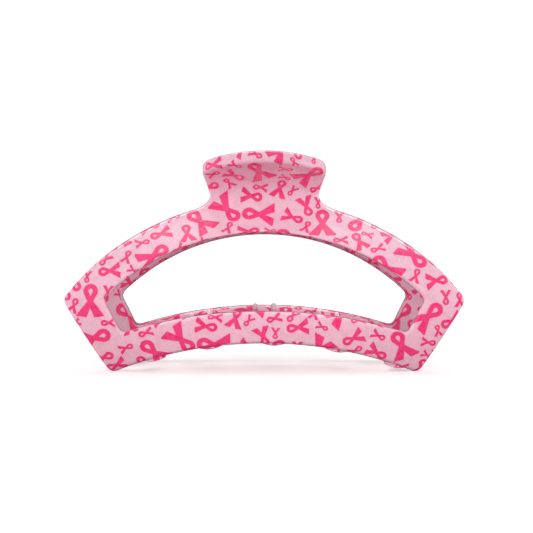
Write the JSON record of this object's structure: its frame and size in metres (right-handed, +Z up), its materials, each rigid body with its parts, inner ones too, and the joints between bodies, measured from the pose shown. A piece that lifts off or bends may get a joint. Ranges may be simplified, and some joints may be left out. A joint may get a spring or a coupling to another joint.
{
  "type": "claw hair clip",
  "caption": "Open-frame claw hair clip with two arched jaws, curled teeth, thumb tabs and a sprung hinge, in glossy printed plastic.",
  "frame": {"origin": "on the ground under the middle of the clip as it stands on the four lower corners of its jaws", "axes": "+X along the clip and the hinge pin, -Y towards the front jaw, +Z up towards the thumb tabs"},
  "size_m": [0.1088, 0.0442, 0.0612],
  "materials": {
    "printed_plastic": "polished, printed all over",
    "plated_steel": "bright plated",
    "spring_steel": "drawn wire"
  },
  "bodies": {
    "front": {"front_jaw": "printed_plastic", "hinge_pin": "plated_steel", "torsion_spring": "spring_steel"},
    "rear": {"rear_jaw": "printed_plastic"}
  },
  "joints": [
    {"name": "jaw_hinge", "type": "hinge", "parent": "front", "child": "rear", "pos_m": [0, 0, 0.0484], "axis": [1, 0, 0], "range_deg": [0, 60], "stiffness_Nm_per_rad": 0.08, "springref_deg": -68.75, "deforming": ["torsion_spring"]}
  ]
}
